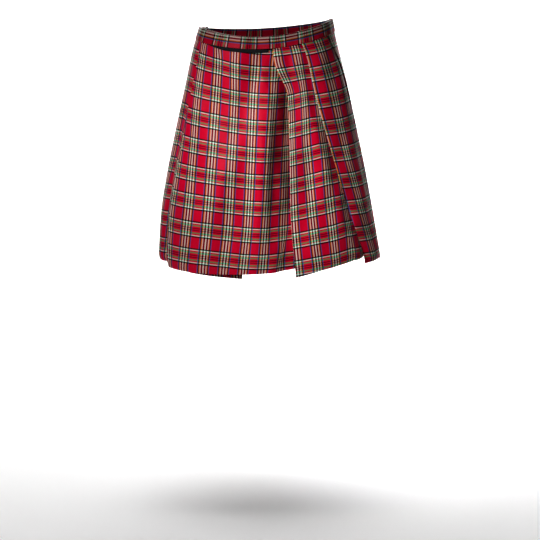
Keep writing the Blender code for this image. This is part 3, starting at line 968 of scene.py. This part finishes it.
@dataclass
class Panel:
    """One width of the skirt, between two of its edges or hidden seams."""

    name: str
    slot: Slot
    material: Material
    first: int
    last: int
    seam_first: bool
    seam_last: bool

    def build(self, skirt: Skirt) -> Piece:
        """Cut the panel out of the wrap and dress it."""
        columns = slice(self.first, self.last + 1)
        grid = skirt.grid[:, columns].copy()
        for seam, end, inner in ((self.seam_first, 0, 1), (self.seam_last, -1, -2)):
            if seam:
                way = grid[:, inner] - grid[:, end]
                grid[:, end] += way / np.linalg.norm(way, axis=1, keepdims=True) * SEAM_GAP
        piece = cloth_object(self.name + "_cloth", grid, skirt.weave[:, columns], WALL,
                             self.material)
        seat(piece, self.slot, self.name)
        return piece


@dataclass
class Waistband:
    """The strip folded over the skirt's top edge: outer wall, fold and inner wall."""

    OUTER_STOPS = (1.0, 0.97, 0.93, 0.85, 0.7, 0.5, 0.3, 0.12, 0.0)   # shares of its height
    INNER_STOPS = (0.0, 0.25, 0.5, 0.75, 0.93, 1.0)
    FOLD_STEPS = 8

    material: Material
    step: float = 1.5                    # degrees between sections
    ease: float = 0.0003
    slack: float = 0.0010
    thins: float = 352.0                 # angle from which it holds a single layer
    tape: float = 0.0018                 # room for the tape beneath it
    tape_ends: tuple[float, float, float, float] = (26.0, 34.0, 92.0, 100.0)
    fold_pinch: float = 0.06             # how much the fold narrows upwards
    fold_crown: float = 0.6              # how flat its top is, 1 for round
    fold_sett: float = 0.0065            # place of the fold in the warp, from its middle line
    first_group: float = 53.5            # angle of the middle of a weft group
    group_pitch: float = 0.0605

    def course(self, angle: float) -> tuple[float, float]:
        """Places of the outer and the inner wall from the outline."""
        leaves = min(max((angle - WRAP_LEAVES) / (WRAP_UNDER - WRAP_LEAVES), 0.0), 1.0)
        thins = min(max((angle - WRAP_UNDER) / (self.thins - WRAP_UNDER), 0.0), 1.0)
        middle = -WRAP_INSET[0] * leaves
        inner = -CLOTH - SEAM_GAP - self.slack - FLAT * (1 - thins)
        begins, full, ends, gone = self.tape_ends
        over = smooth((angle - begins) / (full - begins)) * smooth((gone - angle) / (gone - ends))
        return middle + CLOTH + SEAM_GAP + self.ease + self.tape * over, middle + inner

    @staticmethod
    def drop(share: float) -> float:
        """How far below the band's top a share of its wall lies."""
        return TOP_IN_BAND + (BAND_HEIGHT - TOP_IN_BAND) * share

    def section(self, angle: float) -> list[Point]:
        """Section at an angle: distance out, share of the skirt's length, drop from the top."""
        outer, inner = self.course(angle)
        crown = CLOTH / 2
        middle, half = (outer + inner) / 2, (outer - inner) / 2
        rows = [(outer, BAND_SHARE * f, self.drop(f)) for f in self.OUTER_STOPS]
        for k in range(1, self.FOLD_STEPS):
            turn = math.pi * k / self.FOLD_STEPS
            out = middle + half * math.cos(turn) * (1 - self.fold_pinch * math.sin(turn))
            sinks = 1 - math.sin(turn) ** self.fold_crown
            rows.append((out, 0.0, crown + (TOP_IN_BAND - crown) * sinks))
        return rows + [(inner, BAND_SHARE * f, self.drop(f)) for f in self.INNER_STOPS]

    def seam_line(self, share: float) -> tuple[np.ndarray, np.ndarray]:
        """A level line on the band's outer face, and its outward normals.

        Args:
            share: Its place down the outer wall, from 0 at the top to 1 at the lower edge.

        Returns:
            The line's points and the normals there.
        """
        ring = Ring(BAND_SHARE * share)
        line, normals = [], []
        for angle in np.arange(FREE_EDGE + self.step, WRAP_UNDER + self.step, self.step):
            s = ring.along(angle)
            line.append((*ring.place(s, self.course(angle)[0] + WALL / 2),
                         band_top(angle) - self.drop(share)))
            normals.append((np.interp(s, ring.s, ring.nx), np.interp(s, ring.s, ring.ny), 0.0))
        return np.array(line), np.array(normals)

    def chart(self, down: np.ndarray, angle: float) -> list[Plan]:
        """Place in the tartan of a section's points, mirrored at the fold."""
        past = down - down[len(self.OUTER_STOPS) + self.FOLD_STEPS // 2 - 1]
        along = TOP_RING.along(angle) - TOP_RING.along(self.first_group)
        return [((abs(d) + math.copysign(self.fold_sett, d or -1)) / WARP_REPEAT,
                 along / self.group_pitch) for d in past]

    def build(self) -> Piece:
        """Make the band and dress it."""
        count = round((WRAP_ENDS - FREE_EDGE) / self.step)
        rings: dict[float, Ring] = {}
        grid, weave = [], []
        for angle in np.linspace(FREE_EDGE, WRAP_ENDS, count + 1):
            column = []
            for out, share, drop in self.section(angle):
                if share not in rings:
                    rings[share] = Ring(share)
                ring = rings[share]
                column.append((*ring.place(ring.along(angle), out), band_top(angle) - drop))
            down = running(np.linalg.norm(np.diff(column, axis=0), axis=1))
            grid.append(column)
            weave.append(self.chart(down, angle))
        sheet = np.array(grid).transpose(1, 0, 2)[::-1]
        piece = cloth_object("waistband_cloth", sheet, np.array(weave).transpose(1, 0, 2)[::-1],
                             WALL, self.material)
        seat(piece, Slot.BAND, "waistband")
        return piece


@dataclass
class ClosureStrip:
    """The hook-and-loop tape that shows below the band on the front panel."""

    material: Material
    begins: float = 34.0
    ends: float = 92.0
    full: float = 62.0                   # angle from which it shows in full
    width: float = 0.018
    edges: float = 1.03                  # its flat width over the width of its face
    shows: float = 0.0075
    thickness: float = 0.0015
    columns: int = 60
    rows: int = 9
    levels: int = 9                      # levels of the skirt that it lies on
    map_pitch: float = 10.0              # degrees to one unit of its map

    def build(self, skirt: Skirt) -> Piece:
        """Lay the tape on the front panel's own points and move it out."""
        out = CLOTH / 2 + SEAM_GAP + self.thickness / 2
        shares = np.linspace(0.0, 1.0, self.rows)
        grid, chart = [], []
        for angle in np.linspace(self.begins, self.ends, self.columns):
            shows = self.shows * smooth((angle - self.begins) / (self.full - self.begins))
            low = band_top(angle) - BAND_HEIGHT - shows
            heights = low + self.width * shares[::-1]
            grid.append([self.on_panel(skirt.levels[:self.levels], angle, height, out)
                         for height in heights])
            chart.append([(angle / self.map_pitch, f) for f in shares])
        sheet = np.array(grid).transpose(1, 0, 2)
        piece = cloth_object("closure_strip_tape", sheet, np.array(chart).transpose(1, 0, 2),
                             self.thickness, self.material)
        seat(piece, Slot.TAPE, "closure_strip")
        return piece

    @staticmethod
    def on_panel(levels: Sequence[Level], angle: float, height: float, out: float) -> Point:
        """A point a given distance outside the front panel's cloth, at an angle and a height."""
        found = []
        for level in reversed(levels):
            first, last = level.stop(0, 3), level.stop(1, 1)
            s = level.ring.along(angle)
            places, depths = zip(*level.points[first:last + 1])
            x, y = level.ring.place(s, float(np.interp(s, places, depths)) + out)
            hem = float(np.interp(s, places, level.hems[first:last + 1]))
            top = band_top(level.ring.angle(s)) - TOP_IN_BAND
            found.append((x, y, top + (hem - top) * level.share))
        xs, ys, heights = zip(*found)
        return float(np.interp(height, heights, xs)), float(np.interp(height, heights, ys)), height


@dataclass
class StitchRow:
    """Rows of machine stitches along lines on the cloth."""

    name: str
    slot: Slot
    material: Material
    pitch: float = 0.0032
    length: float = 0.0024
    thread: float = 0.00045
    rise: float = 0.0001                 # how far a stitch's middle stands off the cloth
    look_ahead: float = 0.0004

    def model(self) -> tuple[np.ndarray, list[list[int]]]:
        """One stitch, lying along +X with its back towards +Z, modelled as by hand."""
        bpy.ops.object.select_all(action="DESELECT")
        bpy.ops.mesh.primitive_uv_sphere_add(segments=6, ring_count=4, radius=0.5)
        stitch = bpy.context.active_object
        stitch.scale = (self.length, self.thread, self.thread)
        bpy.ops.object.transform_apply(location=False, rotation=False, scale=True)
        points = np.array([v.co for v in stitch.data.vertices])
        faces = [list(p.vertices) for p in stitch.data.polygons]
        bpy.data.objects.remove(stitch, do_unlink=True)
        return points, faces

    def build(self, lines: Sequence[np.ndarray], normals: Sequence[np.ndarray]) -> Piece:
        """Set a stitch at every step along each line.

        Args:
            lines: Points of each line, already at the cloth's surface.
            normals: Outward normals at those points.

        Returns:
            All the stitches as one piece.
        """
        points, faces = self.model()
        verts, polygons = [], []
        for line, normal in zip(lines, normals):
            length = running(np.linalg.norm(np.diff(line, axis=0), axis=1))
            for at in np.arange(self.pitch / 2, length[-1] - self.pitch / 2, self.pitch):
                middle, up, ahead = (
                    np.array([np.interp(place, length, part[:, k]) for k in range(3)])
                    for part, place in ((line, at), (normal, at), (line, at + self.look_ahead)))
                way = ahead - middle
                way /= np.linalg.norm(way)
                up /= np.linalg.norm(up)
                axes = np.array([way, np.cross(up, way), up])
                polygons += [[len(verts) + i for i in face] for face in faces]
                verts += list(middle + up * self.rise + points @ axes)
        piece = new_piece(self.name, [tuple(v) for v in verts], polygons, self.material)
        seat(piece, self.slot)
        return piece


# ---------------------------------------------------------------- studio
@dataclass(frozen=True)
class Lamp:
    """A soft square lamp."""

    name: str
    place: Point
    aim: Point
    size: float
    power: float
    spread: float = math.pi      # radians over which it shines
    paper_only: bool = False     # whether it lights the paper alone


@dataclass
class Studio:
    """Camera, lamps and a pale paper sweep."""

    camera_place: Point = (0.009, -3.5, -0.075)
    camera_aim: Point = (0.009, 0.0, -0.535)
    focal_pixels: float = 1555.0
    frame_pixels: float = 540.0
    sensor: float = 36.0
    floor_level: float = -1.06
    paper_half: float = 7.0
    paper_rise: float = 7.0
    paper_bend: float = 3.0
    bend_segments: int = 24
    world_strength: float = 0.07
    gamma: float = 0.76
    lamps: tuple[Lamp, ...] = (
        Lamp("key", (-1.60, -2.55, 1.45), (0.16, 0.0, -0.42), 0.26, 1.70, 0.31),
        Lamp("overhead", (0.0, 0.6, 3.0), (0.0, 0.6, -1.0), 3.0, 14.0),
        Lamp("paper_wash", (0.0, 1.1, 2.6), (0.0, 1.1, -1.06), 3.0, 34.0, 1.30, paper_only=True),
        Lamp("back_left", (1.3, 3.5, 1.0), (0.0, 0.0, -0.35), 1.0, 4.0, 0.8),
        Lamp("back_right", (-1.0, 3.7, 1.3), (0.0, 0.0, -0.35), 1.0, 3.0, 0.8),
        Lamp("wall_left", (-2.6, 3.2, 2.4), (-1.0, 7.0, 0.5), 2.0, 260.0),
        Lamp("wall_right", (2.6, 3.2, 2.4), (1.0, 7.0, 0.5), 2.0, 260.0),
    )

    def build(self) -> None:
        """Set everything up."""
        scene = bpy.context.scene
        lens = bpy.data.cameras.new("camera")
        lens.sensor_width = self.sensor
        lens.lens = self.focal_pixels / self.frame_pixels * self.sensor
        scene.camera = self.aimed(lens, self.camera_place, self.camera_aim)
        paper = self.paper()
        for lamp in self.lamps:
            self.hang(lamp, paper)
        scene.world = bpy.data.worlds.new("studio")
        scene.world.use_nodes = True
        background = scene.world.node_tree.nodes["Background"]
        background.inputs[0].default_value = (1.0, 1.0, 1.0, 1.0)
        background.inputs[1].default_value = self.world_strength
        scene.view_settings.view_transform = "Standard"
        scene.view_settings.gamma = self.gamma

    @staticmethod
    def aimed(data: bpy.types.ID, place: Point, aim: Point) -> Piece:
        """A camera or lamp set at a place and aimed, level."""
        holder = bpy.data.objects.new(data.name, data)
        bpy.context.scene.collection.objects.link(holder)
        holder.location = place
        holder.rotation_mode = "QUATERNION"
        holder.rotation_quaternion = (Vector(aim) - Vector(place)).to_track_quat("-Z", "Y")
        return holder

    def hang(self, lamp: Lamp, paper: Piece) -> None:
        """Hang one lamp and aim it."""
        data = bpy.data.lights.new(lamp.name, "AREA")
        data.energy, data.size, data.spread = lamp.power, lamp.size, lamp.spread
        holder = self.aimed(data, lamp.place, lamp.aim)
        if lamp.paper_only:
            lit = bpy.data.collections.new(lamp.name)
            lit.objects.link(paper)
            holder.light_linking.receiver_collection = lit

    def paper(self) -> Piece:
        """A sheet of paper on the floor that sweeps up behind, from its far edge."""
        bpy.ops.object.select_all(action="DESELECT")
        bpy.ops.mesh.primitive_plane_add(size=2 * self.paper_half,
                                         location=(0, 0, self.floor_level))
        paper = bpy.context.active_object
        paper.name = "paper_sweep"
        bpy.ops.object.transform_apply(location=True)
        mesh = paper.data
        for vertex in mesh.vertices:
            vertex.select = vertex.co.y > 0
        for edge in mesh.edges:
            edge.select = all(mesh.vertices[i].select for i in edge.vertices)
        for face in mesh.polygons:
            face.select = False
        bpy.ops.object.mode_set(mode="EDIT")
        bpy.ops.mesh.select_mode(type="EDGE")
        bpy.ops.mesh.extrude_region_move(TRANSFORM_OT_translate={"value": (0, 0, self.paper_rise)})
        bpy.ops.object.mode_set(mode="OBJECT")
        bend = paper.modifiers.new("bend", "BEVEL")
        bend.width = self.paper_bend
        bend.segments = self.bend_segments
        apply_modifiers(paper)
        paper.data.shade_smooth()
        paper.data.materials.append(PaperFinish().material())
        return paper


# ---------------------------------------------------------------- the kilt
class Kilt:
    """The whole garment."""

    BAND_ROWS = (0.03, 0.93)     # the band's two rows of stitches, as shares of its height
    SEAM_PAST_FOLD = 3           # points from the bottom of a tuck to the seam

    def __init__(self) -> None:
        """Lay the cloth and make the finishes."""
        self.skirt = Skirt()
        self.outside = TartanFinish(Slot.OUTSIDE).material()
        # painted shade: the under-apron's tartan is painted 0.8 as dark, for the shade beneath the
        # front apron
        self.inside = TartanFinish(Slot.INSIDE, shade=0.8).material()
        # painted shade: the band's tartan is painted 0.68 as dark, for the lower light that the
        # band gets
        self.band = TartanFinish(Slot.BAND, shade=0.68).material()
        self.thread = ThreadFinish("red_thread", (0.30, 0.0, 0.015)).material()

    def panels(self) -> list[Panel]:
        """The three widths of the skirt, cut apart at their two hidden seams."""
        level = self.skirt.levels[0]
        seam = level.stop(SIDE_SEAM_PLEAT, 2) + level.FOLD_ARC + self.SEAM_PAST_FOLD
        seam_row = [row[0] for row in WRAP_COURSE].index(WRAP_SEAM)
        wrap_seam = level.firsts[seam_row - len(WRAP_COURSE)]
        end = len(level.points) - 1
        return [Panel("front_panel", Slot.OUTSIDE, self.outside, 0, seam, False, True),
                Panel("back_panel", Slot.OUTSIDE, self.outside, seam, wrap_seam, True, True),
                Panel("under_apron", Slot.INSIDE, self.inside, wrap_seam, end, True, False)]

    def build(self) -> None:
        """Build every piece."""
        for panel in self.panels():
            panel.build(self.skirt)
            self.sew_hem(panel)
        band = Waistband(self.band)
        band.build()
        lines, normals = zip(*(band.seam_line(share) for share in self.BAND_ROWS))
        StitchRow("waistband_stitching", Slot.BAND, self.thread).build(lines, normals)
        ClosureStrip(TapeFinish().material()).build(self.skirt)

    def sew_hem(self, panel: Panel) -> None:
        """The hem's row of stitches, outside and inside."""
        level = self.skirt.levels[self.skirt.SEWN_LEVEL]
        inside = HEM_TURNING[-1][0] * TURN_GAP + WALL / 2
        lines, normals = [], []
        for depth, way in ((-WALL / 2, -CLOTH), (inside, CLOTH)):
            line, beyond = (np.array([level.position(i, d)
                                      for i in range(panel.first + 1, panel.last)])
                            for d in (depth, depth + way))
            lines.append(line)
            normals.append(beyond - line)
        StitchRow(panel.name + "_hem_stitching", panel.slot, self.thread).build(lines, normals)


def main() -> None:
    """Build the kilt and its studio."""
    logging.basicConfig(level=logging.INFO, format="%(name)s: %(message)s")
    Studio().build()
    Kilt().build()


if __name__ == "__main__":
    main()
